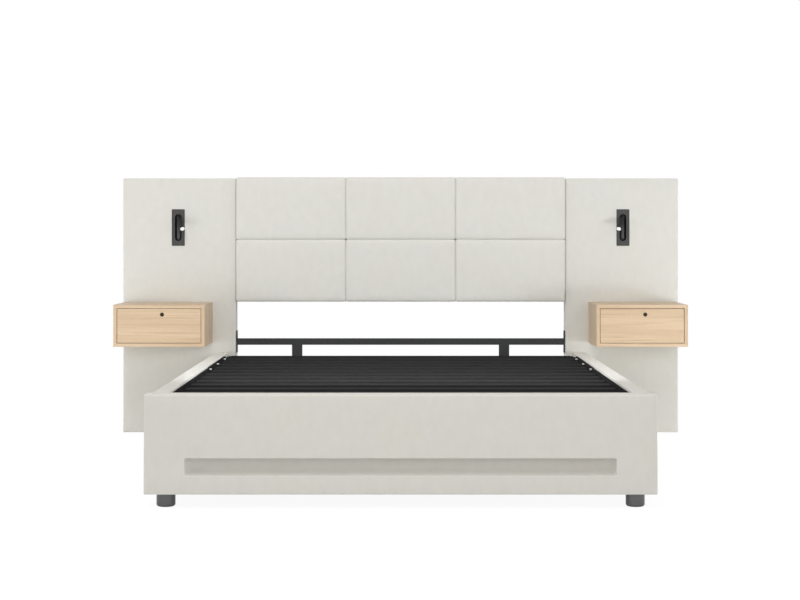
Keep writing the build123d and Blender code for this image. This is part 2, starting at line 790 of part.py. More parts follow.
# ---------------------------------------------------------------- reading lamps
def lamp_cup():
    """Square-cornered plate with a deep pill-shaped trough and a boss for the swivel pin."""
    plate = block(
        (-lamp_plate_width / 2, lamp_plate_front_y, lamp_plate_centre - lamp_plate_height / 2),
        (lamp_plate_width / 2, wing_front_y, lamp_plate_centre + lamp_plate_height / 2))
    plate = fillet(plate.edges().filter_by(Axis.Y), lamp_plate_corner)
    cup = plate + lamp_pill(cup_radius, lamp_plate_front_y)
    cup += rod_z(0, lamp_pivot_y, slot_top_centre + slot_radius, slot_top_centre + boss_top, boss_radius)
    ahead = block((-lamp_plate_width, lamp_plate_front_y - 2 * cup_radius, 0),
                  (lamp_plate_width, lamp_plate_front_y, wing_height))
    cup = cup - ahead - lamp_pill(slot_radius, lamp_plate_front_y - cup_radius)
    return cup - rod_z(0, lamp_pivot_y, slot_top_centre, slot_top_centre + swivel_pin_top + cup_play,
                       swivel_pin_radius + running_gap)


def lamp_swivel():
    """Lug that carries the tube, with its cross pin and the upright swivel pin."""
    half = lug_thickness / 2
    pin_half = tube_radius - tube_wall
    part = rod_x(-half, half, 0, 0, lug_radius)
    part += block((-half, -neck_width / 2, 0), (half, neck_width / 2, swivel_neck_top))
    part += rod_z(0, 0, swivel_neck_top - half, swivel_pin_top, swivel_pin_radius)
    return part + rod_x(-pin_half, pin_half, 0, 0, lamp_pin_radius)


def lamp_tube():
    """Round lamp tube hanging from the cross pin, forked at its upper end."""
    tube = rod_z(0, 0, -tube_length + lens_thickness, 0, tube_radius) + Sphere(tube_radius)
    seat = rod_z(0, 0, -tube_length, -tube_length + lens_thickness, tube_radius)
    tube += seat - rod_z(0, 0, -tube_length, -tube_length + lens_thickness, tube_radius - tube_wall)
    fork = block((-fork_width / 2, -tube_radius, -fork_depth), (fork_width / 2, tube_radius, tube_radius))
    return tube - fork - rod_x(-tube_radius, tube_radius, 0, 0, lamp_pin_radius + running_gap)


def lamp_lens():
    """White diffuser disc in the end of the tube."""
    return rod_z(0, 0, -tube_length, -tube_length + lens_thickness, tube_radius - tube_wall)


for side, name in ((-1, "left"), (1, "right")):
    at_pivot = Pos(side * lamp_x, lamp_pivot_y, slot_top_centre) * Rot(0, 0, -side * lamp_turn)
    leaning = at_pivot * Rot(-lamp_lean, 0, 0)
    save(f"{name}_lamp_cup", Pos(side * lamp_x, 0, 0) * lamp_cup())
    save(f"{name}_lamp_swivel", at_pivot * lamp_swivel())
    save(f"{name}_lamp_tube", leaning * lamp_tube())
    save(f"{name}_lamp_lens", leaning * lamp_lens())
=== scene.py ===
from math import cos, exp, pi, radians, sin, tanh

import bmesh
import bpy
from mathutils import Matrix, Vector


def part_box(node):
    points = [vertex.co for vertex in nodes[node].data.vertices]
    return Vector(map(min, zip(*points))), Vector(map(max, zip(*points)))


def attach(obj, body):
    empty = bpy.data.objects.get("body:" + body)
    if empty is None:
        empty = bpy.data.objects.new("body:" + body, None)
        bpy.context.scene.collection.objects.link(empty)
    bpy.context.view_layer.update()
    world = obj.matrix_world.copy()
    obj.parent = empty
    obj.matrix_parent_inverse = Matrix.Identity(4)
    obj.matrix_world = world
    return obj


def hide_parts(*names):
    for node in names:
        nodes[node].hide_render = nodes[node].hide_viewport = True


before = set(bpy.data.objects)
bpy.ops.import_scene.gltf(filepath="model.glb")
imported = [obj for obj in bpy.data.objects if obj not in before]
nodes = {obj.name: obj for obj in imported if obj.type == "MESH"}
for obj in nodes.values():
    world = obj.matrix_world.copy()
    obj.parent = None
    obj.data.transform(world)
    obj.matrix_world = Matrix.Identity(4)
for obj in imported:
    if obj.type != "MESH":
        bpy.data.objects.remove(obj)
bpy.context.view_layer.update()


# ------------------------------------------------------------------ head rail, cleats and cores
# Planed pine: the board across the head end of the bed box, the cleats that carry the
# storage floor, and the hidden frames inside the upholstery. Left raw, glued and screwed.
def node(tree, kind, inputs=None, **settings):
    """Add a shader node, set what it does, and fill its inputs with values or links."""
    made = tree.nodes.new("ShaderNode" + kind)
    for name, value in settings.items():
        setattr(made, name, value)
    for socket, value in (inputs or {}).items():
        if isinstance(value, bpy.types.NodeSocket):
            tree.links.new(value, made.inputs[socket])
        else:
            made.inputs[socket].default_value = value
    return made


def maths(tree, operation, first, second=0.0):
    """One sum on two values."""
    return node(tree, "Math", {0: first, 1: second}, operation=operation).outputs[0]


def spread(tree, value, low, high, bottom=0.0, top=1.0):
    """Stretch a value from one range to another and stop it at both ends."""
    return node(tree, "MapRange", {0: value, 1: low, 2: high, 3: bottom, 4: top}).outputs[0]


def tint(tree, share, first, second):
    """Mix two colours."""
    return node(tree, "Mix", {0: share, 6: first, 7: second}, data_type="RGBA").outputs[2]


def shade(tree, colour, value):
    """Darken or lighten a colour by a value."""
    grey = node(tree, "CombineColor", {0: value, 1: value, 2: value}).outputs[0]
    return node(tree, "Mix", {0: 1.0, 6: colour, 7: grey}, data_type="RGBA",
                blend_type="MULTIPLY").outputs[2]


def stretch(tree, vector, factors):
    """Scale a place vector along its three axes."""
    return node(tree, "VectorMath", {0: vector, 1: factors}, operation="MULTIPLY").outputs[0]


def noise(tree, vector, scale, detail=2.0, roughness=0.5):
    """Soft random pattern from 0 to 1."""
    return node(tree, "TexNoise", {"Vector": vector, "Scale": scale, "Detail": detail,
                                   "Roughness": roughness}).outputs["Fac"]


def effect(name, inputs, outputs):
    """Start a reusable effect with named inputs and outputs."""
    group = bpy.data.node_groups.new(name, "ShaderNodeTree")
    for label, (kind, value) in inputs.items():
        socket = group.interface.new_socket(label, in_out="INPUT", socket_type="NodeSocket" + kind)
        if value is not None:
            socket.default_value = value
    for label in outputs:
        group.interface.new_socket(label, in_out="OUTPUT", socket_type="NodeSocketFloat")
    source = group.nodes.new("NodeGroupInput").outputs
    result = group.nodes.new("NodeGroupOutput").inputs
    return group, source, result


def use(tree, group, **inputs):
    """Place an effect in a material."""
    named = {label.replace("_", " "): value for label, value in inputs.items()}
    return node(tree, "Group", named, node_tree=group).outputs


def new_material(name):
    """Start a material; gives it, its node tree and the place on the piece."""
    material = bpy.data.materials.new(name)
    material.use_nodes = True
    material.node_tree.nodes.clear()
    place = node(material.node_tree, "TexCoord").outputs["Object"]
    return material, material.node_tree, place


def surface(tree, colour, roughness, height=None, depth=0.001, **sockets):
    """Finish a material with its shader, and a bump from a height where it has one."""
    values = {"Base Color": colour, "Roughness": roughness}
    values.update({label.replace("_", " "): value for label, value in sockets.items()})
    if height is not None:
        values["Normal"] = node(tree, "Bump", {"Height": height, "Distance": depth}).outputs[0]
    shader = node(tree, "BsdfPrincipled", values)
    node(tree, "OutputMaterial", {"Surface": shader.outputs[0]})


def paint(material, *names):
    """Give a material to nodes of the frame."""
    for name in names:
        nodes[name].data.materials.clear()
        nodes[name].data.materials.append(material)


wood_figure, figure_in, figure_out = effect(
    "wood_figure",
    {"Vector": ("Vector", None), "Ring Scale": ("Float", 9.0), "Waviness": ("Float", 2.0)},
    ["Figure", "Fibres", "Streaks", "Pores"])
along_grain = figure_in["Vector"]
fibre_rates, streak_rates, pore_rates = (14, 420, 420), (3.5, 150, 150), (55, 1500, 1500)
drawn_out = stretch(wood_figure, along_grain, (0.07, 1.0, 1.0))
rings = node(wood_figure, "TexWave",
             {"Vector": drawn_out, "Scale": figure_in["Ring Scale"],
              "Distortion": figure_in["Waviness"],
              "Detail": 3.0, "Detail Scale": 1.6, "Detail Roughness": 0.55},
             wave_type="BANDS", bands_direction="DIAGONAL").outputs["Fac"]
clouding = noise(wood_figure, drawn_out, 14.0, 4.0)
figure = maths(wood_figure, "ADD", maths(wood_figure, "MULTIPLY", rings, 0.45),
               maths(wood_figure, "MULTIPLY", clouding, 0.55))
fibres = noise(wood_figure, stretch(wood_figure, along_grain, fibre_rates), 1.0, 3.0)
streak_noise = noise(wood_figure, stretch(wood_figure, along_grain, streak_rates), 1.0, 3.0)
pore_noise = noise(wood_figure, stretch(wood_figure, along_grain, pore_rates), 1.0, 1.0)
wood_figure.links.new(figure, figure_out["Figure"])
wood_figure.links.new(fibres, figure_out["Fibres"])
wood_figure.links.new(spread(wood_figure, streak_noise, 0.52, 0.68), figure_out["Streaks"])
wood_figure.links.new(spread(wood_figure, pore_noise, 0.60, 0.70), figure_out["Pores"])


def grain_along(tree, place, axis):
    """Turn a place so that the wood's grain runs along the axis named."""
    parts = node(tree, "SeparateXYZ", {0: place}).outputs
    order = {"X": (0, 1, 2), "Y": (1, 0, 2), "Z": (2, 1, 0)}[axis]
    return node(tree, "CombineXYZ", {to: parts[come] for to, come in enumerate(order)}).outputs[0]


def timber(name, axis):
    """Raw pine with its grain along one axis."""
    material, tree, place = new_material(name)
    wood = use(tree, wood_figure, Vector=grain_along(tree, place, axis),
               Ring_Scale=12.0, Waviness=5.0)
    colour = tint(tree, wood["Figure"], (0.62, 0.43, 0.24, 1), (0.74, 0.57, 0.36, 1))
    colour = shade(tree, colour, spread(tree, wood["Fibres"], 0.2, 0.8, 0.92, 1.04))
    gloss = spread(tree, wood["Fibres"], 0.0, 1.0, 0.62, 0.8)
    surface(tree, colour, gloss, wood["Fibres"], 0.0003)
    return material


paint(timber("pine_crosswise", "X"), "head_rail", "footboard_core")
paint(timber("pine_lengthwise", "Y"), "floor_cleats", "rail_cores")
paint(timber("pine_upright", "Z"), "wing_cores")


# ------------------------------------------------------------------ storage floor
# Two sheets of dark hardboard that lie on the cleats and the centre beam. The smooth
# face is up; it is pressed fibre, so it has a fine fleck and no grain.
hardboard, tree, place = new_material("hardboard")
fleck = noise(tree, place, 900.0, 3.0, 0.7)
blotch = noise(tree, place, 5.0, 3.0)
colour = tint(tree, spread(tree, fleck, 0.3, 0.7),
              (0.085, 0.055, 0.036, 1), (0.15, 0.10, 0.068, 1))
colour = shade(tree, colour, spread(tree, blotch, 0.3, 0.7, 0.88, 1.1))
surface(tree, colour, spread(tree, fleck, 0.3, 0.7, 0.5, 0.68), fleck, 0.0002)
paint(hardboard, "storage_floor")


# ------------------------------------------------------------------ steel frame and slat deck
# Folded and tube steel in black powder coat: brackets, beam, ledges, slats and lifting arms,
# with a paler coat on the crossbar and plastic caps in the slats' ends. The coat is sprayed
# and baked, so it has a fine orange peel.
baked_coat, coat_in, coat_out = effect(
    "baked_coat", {"Vector": ("Vector", None), "Grain": ("Float", 900.0)}, ["Peel", "Haze"])
peel = noise(baked_coat, coat_in["Vector"], coat_in["Grain"], 2.0)
haze = noise(baked_coat, coat_in["Vector"], 7.0, 4.0)
baked_coat.links.new(peel, coat_out["Peel"])
baked_coat.links.new(haze, coat_out["Haze"])


def coated(name, colour, smooth, rough, grain, depth, **sockets):
    """Painted or moulded skin with orange peel and faint handling haze."""
    material, tree, place = new_material(name)
    coat = use(tree, baked_coat, Vector=place, Grain=grain)
    dark = [0.86 * part for part in colour[:3]] + [1.0]
    finish = tint(tree, spread(tree, coat["Haze"], 0.3, 0.7), dark, colour)
    gloss = spread(tree, coat["Haze"], 0.25, 0.75, smooth, rough)
    surface(tree, finish, gloss, coat["Peel"], depth, **sockets)
    return material


black_steel = coated("black_powder_coat", (0.034, 0.033, 0.033, 1), smooth=0.8, rough=0.9,
                     grain=1100.0, depth=0.0001, Specular_IOR_Level=0.01)
paint(black_steel, "corner_brackets", "centre_beam", "deck_side_angles", "deck_bars", "slats",
      "lift_arms", "hinge_plates", "deck_ledges")
crossbar_steel = coated("crossbar_powder_coat", (0.055, 0.055, 0.056, 1), smooth=0.75,
                        rough=0.85, grain=900.0, depth=0.0001, Specular_IOR_Level=0.1)
paint(crossbar_steel, "headboard_crossbar")
black_plastic = coated("black_moulding", (0.014, 0.014, 0.015, 1), smooth=0.5, rough=0.62,
                       grain=1600.0, depth=0.00005)
paint(black_plastic, "slat_caps")


# ------------------------------------------------------------------ bolts and screws
# Zinc-plated studs that join the deck's angles to the lift arms, and the button-head
# screws of the frame. The plating has faint streaks and a soft blue cast; the drawers'
# folded steel runners and glides have the same one.
zinc, tree, place = new_material("zinc_plate")
streaks = noise(tree, stretch(tree, place, (60.0, 900.0, 900.0)), 1.0, 2.0)
bloom = noise(tree, place, 160.0, 3.0)
colour = tint(tree, spread(tree, bloom, 0.3, 0.7), (0.46, 0.47, 0.49, 1), (0.62, 0.62, 0.61, 1))
gloss = spread(tree, streaks, 0.2, 0.8, 0.24, 0.42)
surface(tree, colour, gloss, streaks, 0.00004, Metallic=1.0)
paint(zinc, "frame_screws", "lift_studs", "case_runners", "left_drawer_glides",
      "right_drawer_glides")


# ------------------------------------------------------------------ gas struts
# Gloss black pressure tubes with a hard-chromed rod, one at each side of the deck.
# Both end in flat eyes on the studs of the hinge plate and of the lift arm.
strut_black = coated("strut_enamel", (0.012, 0.012, 0.012, 1), smooth=0.18, rough=0.26,
                     grain=700.0, depth=0.00003, Coat_Weight=0.4)
paint(strut_black, "left_strut_cylinder", "right_strut_cylinder")
chrome, tree, place = new_material("hard_chrome")
wipe = noise(tree, stretch(tree, place, (900.0, 40.0, 40.0)), 1.0, 2.0)
gloss = spread(tree, wipe, 0.2, 0.8, 0.07, 0.16)
surface(tree, (0.72, 0.73, 0.74, 1), gloss, wipe, 0.00001, Metallic=1.0)
paint(chrome, "left_strut_rod", "right_strut_rod")


# ------------------------------------------------------------------ feet
# Six round feet in satin dark grey metal paint, each on one screw into the box. Two stand
# under the footboard, two near the head and two under the centre beam.
foot_grey = coated("satin_grey_foot", (0.135, 0.136, 0.138, 1), smooth=0.2, rough=0.26,
                   grain=500.0, depth=0.00004, Metallic=0.9)
paint(foot_grey, "feet")


# ------------------------------------------------------------------ side rails
# Long boards wrapped in thin foam and a pale brushed cloth, stapled underneath. The cloth
# is pulled tight, so the edges roll over softly and the faces barely crown.
brushed_nap, nap_in, nap_out = effect(
    "brushed_nap", {"Vector": ("Vector", None), "Stroke": ("Float", 26.0)}, ["Strokes", "Warmth"])
upright = stretch(brushed_nap, nap_in["Vector"], (1.0, 1.0, 0.6))
brushed_nap.links.new(noise(brushed_nap, upright, nap_in["Stroke"], 4.0, 0.62), nap_out["Strokes"])
brushed_nap.links.new(noise(brushed_nap, nap_in["Vector"], 6.0, 3.0, 0.55), nap_out["Warmth"])

plain_weave, weave_in, weave_out = effect(
    "plain_weave",
    {"Vector": ("Vector", None), "Normal": ("Vector", None), "Threads": ("Float", 900.0)},
    ["Height"])
at = node(plain_weave, "SeparateXYZ", {0: weave_in["Vector"]}).outputs
facing = node(plain_weave, "VectorMath", {0: weave_in["Normal"]}, operation="ABSOLUTE").outputs[0]
facing = node(plain_weave, "SeparateXYZ", {0: facing}).outputs
is_side = maths(plain_weave, "GREATER_THAN", facing[0], 0.7)
is_top = maths(plain_weave, "GREATER_THAN", facing[2], 0.7)


def choose(tree, switch, first, second):
    """First value where the switch is 0, second where it is 1."""
    return node(tree, "Mix", {0: switch, 2: first, 3: second}).outputs[0]


across = choose(plain_weave, is_side, at[0], at[1])
along = choose(plain_weave, is_top, at[2], at[1])
warp = maths(plain_weave, "SINE", maths(plain_weave, "MULTIPLY", across, weave_in["Threads"]))
weft = maths(plain_weave, "SINE", maths(plain_weave, "MULTIPLY", along, weave_in["Threads"]))
over = maths(plain_weave, "GREATER_THAN", maths(plain_weave, "MULTIPLY", warp, weft), 0.0)
height = choose(plain_weave, over, maths(plain_weave, "ABSOLUTE", warp),
                maths(plain_weave, "ABSOLUTE", weft))
plain_weave.links.new(height, weave_out["Height"])


def upholstery(name, cool, warm, threads):
    """Pale brushed cloth: a fine weave under a short nap with brushed strokes."""
    material, tree, place = new_material(name)
    turned = node(tree, "TexCoord").outputs["Normal"]
    nap = use(tree, brushed_nap, Vector=place, Stroke=34.0)
    weave = use(tree, plain_weave, Vector=place, Normal=turned, Threads=threads)
    colour = tint(tree, spread(tree, nap["Warmth"], 0.35, 0.65), cool, warm)
    colour = shade(tree, colour, spread(tree, nap["Strokes"], 0.3, 0.7, 0.975, 1.017))
    # The weave's low points are painted up to 5% darker: painted shade between the threads.
    colour = shade(tree, colour, spread(tree, weave["Height"], 0.0, 1.0, 0.95, 1.01))
    relief = maths(tree, "ADD", nap["Strokes"], weave["Height"])
    surface(tree, colour, spread(tree, nap["Strokes"], 0.3, 0.7, 0.8, 0.95), relief, 0.00025,
            Sheen_Weight=1.0, Sheen_Roughness=0.3, Sheen_Tint=(1.0, 0.965, 0.90, 1),
            Specular_IOR_Level=0.2)
    return material


cloth = upholstery("brushed_cloth", cool=(0.715, 0.697, 0.650, 1),
                   warm=(0.722, 0.697, 0.638, 1), threads=2600.0)


def only(piece):
    """Select one piece alone and make it the active one."""
    bpy.ops.object.select_all(action="DESELECT")
    piece.select_set(True)
    bpy.context.view_layer.objects.active = piece


def edit(piece):
    """Open one piece for editing."""
    only(piece)
    bpy.ops.object.mode_set(mode="EDIT")


def pick(piece, kind, test):
    """In edit mode, select the points, edges or faces that pass a test."""
    bpy.ops.mesh.select_mode(type=kind)
    bpy.ops.mesh.select_all(action="DESELECT")
    shape = bmesh.from_edit_mesh(piece.data)
    parts = {"VERT": shape.verts, "EDGE": shape.edges, "FACE": shape.faces}[kind]
    for part in parts:
        if test(part):
            part.select_set(True)
    bmesh.update_edit_mesh(piece.data)


def close_edit():
    """Leave edit mode."""
    bpy.ops.object.mode_set(mode="OBJECT")


def cube(name, low, high):
    """Box primitive between two corners, with its place in its mesh."""
    bpy.ops.object.select_all(action="DESELECT")
    size = [b - a for a, b in zip(low, high)]
    middle = [(a + b) / 2 for a, b in zip(low, high)]
    bpy.ops.mesh.primitive_cube_add(size=1.0, location=middle, scale=size)
    bpy.ops.object.transform_apply(location=True, rotation=True, scale=True)
    piece = bpy.context.object
    piece.name = name
    piece.data.name = name
    return piece


def divide(piece, spacing, shortest):
    """Cut every long edge into even steps, so that the faces become a net of quads."""
    straight = 0.99
    for axis in range(3):
        def runs_along(part, axis=axis):
            step = part.verts[1].co - part.verts[0].co
            return abs(step[axis]) > shortest and abs(step[axis]) > straight * step.length
        pick(piece, "EDGE", runs_along)
        reach = max((abs(e.verts[1].co[axis] - e.verts[0].co[axis])
                     for e in bmesh.from_edit_mesh(piece.data).edges if e.select), default=0.0)
        if reach:
            bpy.ops.mesh.subdivide(number_cuts=max(1, int(reach / spacing)))


hair = 0.001  # margin when points are picked by their place


def padded_board(name, low, high, roll, hem, spacing):
    """Board in foam and cloth: rolled edges, tight ones underneath, and an even net of quads."""
    piece = cube(name, low, high)
    edit(piece)
    pick(piece, "EDGE", lambda e: max(v.co.z for v in e.verts) > low.z + hair)
    bpy.ops.mesh.bevel(offset=roll, segments=4, affect="EDGES")
    pick(piece, "EDGE", lambda e: max(v.co.z for v in e.verts) < low.z + hair)
    bpy.ops.mesh.bevel(offset=hem, segments=2, affect="EDGES")
    divide(piece, spacing, 2 * roll)
    close_edit()
    return piece


def finish_modifier(piece, label):
    """Apply one modifier for good."""
    only(piece)
    bpy.ops.object.modifier_apply(modifier=label)


def refine(piece):
    """One round of smooth subdivision, and smooth shading."""
    rounder = piece.modifiers.new("rounder", "SUBSURF")
    rounder.levels = 1
    rounder.render_levels = 1
    finish_modifier(piece, "rounder")
    bpy.ops.object.shade_smooth()


def swell(piece, tacked, pressure, cap):
    """Let the foam press the cloth out as a simulation; tacked points stay where they are."""
    rest = [point.co.copy() for point in piece.data.vertices]
    staples = piece.vertex_groups.new(name="tacked")
    staples.add([i for i, place in enumerate(rest) if tacked(place)], 1.0, "REPLACE")
    cover = piece.modifiers.new("cover", "CLOTH")
    cover.settings.quality = 4
    cover.settings.mass = 0.4
    cover.settings.tension_stiffness = 20.0
    cover.settings.compression_stiffness = 12.0
    cover.settings.shear_stiffness = 8.0
    cover.settings.bending_stiffness = 1.5
    cover.settings.use_pressure = True
    cover.settings.uniform_pressure_force = pressure
    cover.settings.vertex_group_mass = "tacked"
    cover.settings.effector_weights.gravity = 0.0
    cover.collision_settings.use_collision = False
    last_frame, no_move = 20, 1e-7
    for step in range(1, last_frame + 1):
        bpy.context.scene.frame_set(step)
    finish_modifier(piece, "cover")
    bpy.context.scene.frame_set(1)
    for point, start in zip(piece.data.vertices, rest):
        move = point.co - start
        if move.length > no_move:
            point.co = start + move * (cap * tanh(move.length / cap) / move.length)
    piece.vertex_groups.clear()


def dress(piece, material, slot, fill, *stands_for):
    """Material and body of an upholstered piece; hides the parts it stands for. Slot and fill are
    not used.
    """
    piece.data.materials.clear()
    piece.data.materials.append(material)
    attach(piece, "root")
    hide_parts(*stands_for)


rail_roll, hem_roll, net = 0.006, 0.002, 0.022
inner_strip, under_strip = 0.012, 0.004
for hand in ("left", "right"):
    low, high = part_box(f"{hand}_rail_cover")
    rail = padded_board(f"{hand}_side_rail", low, high, rail_roll, hem_roll, net)
    inner = high.x if hand == "left" else low.x
    swell(rail, lambda p: abs(p.x - inner) < inner_strip or p.z < low.z + under_strip,
          pressure=1.5, cap=0.0012)
    refine(rail)
    dress(rail, cloth, "upholstery", 1.0, f"{hand}_rail_cover")


# ------------------------------------------------------------------ footboard
# The taller board across the foot end, in the same foam and cloth. A long recess runs
# across it low down; the cloth is turned in and curves up inside it as a cove.
low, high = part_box("footboard_cover")
board_roll = 0.006
footboard = padded_board("footboard", low, high, board_roll, hem_roll, net)
recess_half, recess_low, recess_high = 0.6965, 0.108, 0.162
recess_depth, recess_corner, mouth_roll, cove = 0.040, 0.007, 0.003, 0.048
glued_rim, cutter_lead, smooth_below = 0.020, 0.006, radians(50)


def held_footboard(p):
    """Stapled round the back and underneath, and glued round the mouth of the recess."""
    by_recess = (abs(p.x) < recess_half + glued_rim
                 and recess_low - glued_rim < p.z < recess_high + glued_rim)
    return p.y > high.y - board_roll or p.z < low.z + hem_roll + hair or by_recess


swell(footboard, held_footboard, pressure=1.5, cap=0.0015)
refine(footboard)


def cut(piece, cutter):
    """Take one shape out of another and discard the cutter."""
    knife = piece.modifiers.new("knife", "BOOLEAN")
    knife.operation = "DIFFERENCE"
    knife.solver = "EXACT"
    knife.object = cutter
    finish_modifier(piece, "knife")
    bpy.data.objects.remove(cutter)


cutter_low = (-recess_half - mouth_roll, low.y - cutter_lead, recess_low - mouth_roll)
mouth = cube("recess_cutter", cutter_low,
             (recess_half + mouth_roll, low.y, recess_high + mouth_roll))
edit(mouth)
pick(mouth, "EDGE", lambda e: abs(e.verts[0].co.y - e.verts[1].co.y) > cutter_lead / 2)
bpy.ops.mesh.bevel(offset=recess_corner + mouth_roll, segments=6, affect="EDGES")
pick(mouth, "FACE", lambda f: f.normal.y > 0.99)
lip_arc = [radians(turn) for turn in (12, 28, 44, 60, 75, 90)]
for a, b in zip(lip_arc, lip_arc[1:]):
    bpy.ops.mesh.inset(thickness=mouth_roll * (sin(b) - sin(a)),
                       depth=mouth_roll * (cos(a) - cos(b)))
cove_arc = [radians(turn) for turn in range(0, 91, 10)]
for a, b in zip(cove_arc, cove_arc[1:]):
    deeper = (recess_depth - mouth_roll) * (sin(b) - sin(a))
    bpy.ops.mesh.extrude_region_move(TRANSFORM_OT_translate={"value": (0, deeper, 0)})
    drawn_in, narrower = cove * (1 - cos(a)), cove * (cos(a) - cos(b))
    half, height = recess_half - drawn_in, recess_high - recess_low - drawn_in
    bpy.ops.transform.resize(value=((half - narrower) / half, 1, (height - narrower) / height),
                             center_override=(0, 0, recess_high))
close_edit()
cut(footboard, mouth)
bpy.ops.object.shade_smooth_by_angle(angle=smooth_below)
dress(footboard, cloth, "upholstery", 1.0, "footboard_cover")


# ------------------------------------------------------------------ headboard wings
# Two tall boards that stand on the floor beside the bed box and carry a drawer unit and a
# lamp each. Foam and cloth are wrapped round and stapled at the back, with a hole for the lamp.
slot_centre_x, wing_roll = 0.9945, 0.005
hole_half, hole_low, hole_high, hole_depth = 0.0170, 0.8535, 0.9870, 0.04
for hand, sign in (("left", -1), ("right", 1)):
    low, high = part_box(f"{hand}_wing_cover")
    wing = padded_board(f"{hand}_wing", low, high, wing_roll, hem_roll, net)
    swell(wing, lambda p: p.y > high.y - wing_roll or p.z < low.z + under_strip,
          pressure=1.2, cap=0.0012)
    refine(wing)
    bpy.ops.object.select_all(action="DESELECT")
    bpy.ops.mesh.primitive_cylinder_add(
        vertices=32, radius=hole_half, depth=hole_depth, rotation=(radians(90), 0, 0),
        location=(sign * slot_centre_x, low.y, hole_low + hole_half))
    bpy.ops.object.transform_apply(location=True, rotation=True, scale=True)
    hole = bpy.context.object
    edit(hole)
    pick(hole, "VERT", lambda v: v.co.z > hole_low + hole_half + hair)
    bpy.ops.transform.translate(value=(0, 0, hole_high - hole_low - 2 * hole_half))
    close_edit()
    cut(wing, hole)
    bpy.ops.object.shade_smooth_by_angle(angle=smooth_below)
    dress(wing, cloth, "upholstery", 1.0, f"{hand}_wing_cover")


# ------------------------------------------------------------------ centre panel
# The board behind the six padded tiles. It hangs between the wings, and its edges and
# back are wrapped in the same cloth over a thin lining.
low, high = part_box("centre_panel_board")
panel_roll, panel_net = 0.008, 0.03
panel = padded_board("centre_panel", low, high, panel_roll, panel_roll, panel_net)
refine(panel)
dress(panel, cloth, "upholstery", 1.0, "centre_panel_board")


# ------------------------------------------------------------------ dust covers
# Thin black non-woven cloth over the backs of the wings and of the centre panel, to hide the
# raw edges of the upholstery. It is pulled flat and held by wire staples along its rim.
fleece, tree, place = new_material("dust_cover_fleece")
spot_rate = 1800.0
fluff = noise(tree, place, 600.0, 4.0, 0.7)
crease_light_and_shade = noise(tree, stretch(tree, place, (9.0, 9.0, 2.5)), 1.0, 3.0)
at = node(tree, "SeparateXYZ", {0: place}).outputs
rising = maths(tree, "MULTIPLY", maths(tree, "ADD", at[0], at[2]), spot_rate)
falling = maths(tree, "MULTIPLY", maths(tree, "SUBTRACT", at[0], at[2]), spot_rate)
spots = maths(tree, "MULTIPLY", maths(tree, "SINE", rising), maths(tree, "SINE", falling))
pressed = spread(tree, spots, 0.45, 0.7)
colour = tint(tree, spread(tree, fluff, 0.3, 0.7),
              (0.018, 0.018, 0.019, 1), (0.034, 0.034, 0.035, 1))
# Long soft streaks painted lighter and darker: painted light and shade of creases in the fleece.
colour = shade(tree, colour, spread(tree, crease_light_and_shade, 0.3, 0.7, 0.85, 1.15))
colour = shade(tree, colour, spread(tree, pressed, 0.0, 1.0, 1.0, 0.6))
relief = maths(tree, "SUBTRACT", fluff, maths(tree, "MULTIPLY", pressed, 0.8))
gloss = spread(tree, pressed, 0.0, 1.0, 0.9, 0.6)
surface(tree, colour, gloss, relief, 0.0003, Specular_IOR_Level=0.2)

cover_rim, cover_net, cover_thickness, cover_lift = 0.016, 0.012, 0.0004, 0.0002
bulge, bulge_fade, unevenness = 0.0012, 0.035, 0.0002
staple_step, staple_inset, staple_rise, staple_roll = 0.06, 0.006, 0.0011, 0.00015
upright_staple, level_staple = (0.0007, 0.0005, 0.010), (0.010, 0.0005, 0.0007)
backs = (("left", "left_wing_cover", "left_wing"), ("right", "right_wing_cover", "right_wing"),
         ("middle", "centre_panel_board", "centre_panel"))
for hand, board, carrier in backs:
    low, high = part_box(board)
    start_x, start_z = low.x + cover_rim, low.z + cover_rim
    wide, tall = high.x - low.x - 2 * cover_rim, high.z - low.z - 2 * cover_rim
    bpy.ops.object.select_all(action="DESELECT")
    bpy.ops.mesh.primitive_grid_add(
        x_subdivisions=round(wide / cover_net), y_subdivisions=round(tall / cover_net), size=1.0,
        location=((low.x + high.x) / 2, high.y + cover_lift, (low.z + high.z) / 2),
        rotation=(radians(90), 0, radians(180)))
    cover = bpy.context.object
    cover.name = cover.data.name = f"{hand}_dust_cover"
    cover.scale = (wide, tall, 1.0)
    bpy.ops.object.transform_apply(location=True, rotation=True, scale=True)
    for point in cover.data.vertices:
        from_left, from_low = point.co.x - low.x - cover_rim, point.co.z - low.z - cover_rim
        to_side, to_end = min(from_left, wide - from_left), min(from_low, tall - from_low)
        along = from_low if to_side < to_end else from_left
        loose = sin(pi * along / staple_step) ** 2 * exp(-min(to_side, to_end) / bulge_fade)
        uneven = 1 + sin(19.0 * point.co.x + 7.0 * point.co.z)
        point.co.y += bulge * loose + unevenness * uneven
    skin = cover.modifiers.new("skin", "SOLIDIFY")
    skin.thickness, skin.offset = cover_thickness, 1.0
    finish_modifier(cover, "skin")
    bpy.ops.object.shade_smooth()
    cover.data.materials.append(fleece)
    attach(cover, "root")
    sides = (start_x + staple_inset, high.x - cover_rim - staple_inset)
    ends = (start_z + staple_inset, high.z - cover_rim - staple_inset)
    places = [(side, start_z + k * staple_step, upright_staple)
              for k in range(1, int(tall / staple_step) + 1) for side in sides]
    places += [(start_x + k * staple_step, level, level_staple)
               for k in range(1, int(wide / staple_step) + 1) for level in ends]
    bpy.ops.object.select_all(action="DESELECT")
    for count, (x, z, size) in enumerate(places):
        spot = (x, high.y + staple_rise, z)
        bpy.ops.mesh.primitive_cube_add(size=1.0, location=spot, scale=size)
        if not count:
            staples = bpy.context.object
            bpy.ops.object.transform_apply(location=True, rotation=True, scale=True)
            edit(staples)
    bpy.ops.mesh.select_all(action="SELECT")
    bpy.ops.mesh.bevel(offset=staple_roll, segments=2, affect="EDGES")
    close_edit()
    staples.name = staples.data.name = f"{hand}_cover_staples"
    staples.data.materials.append(zinc)
    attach(staples, "root")


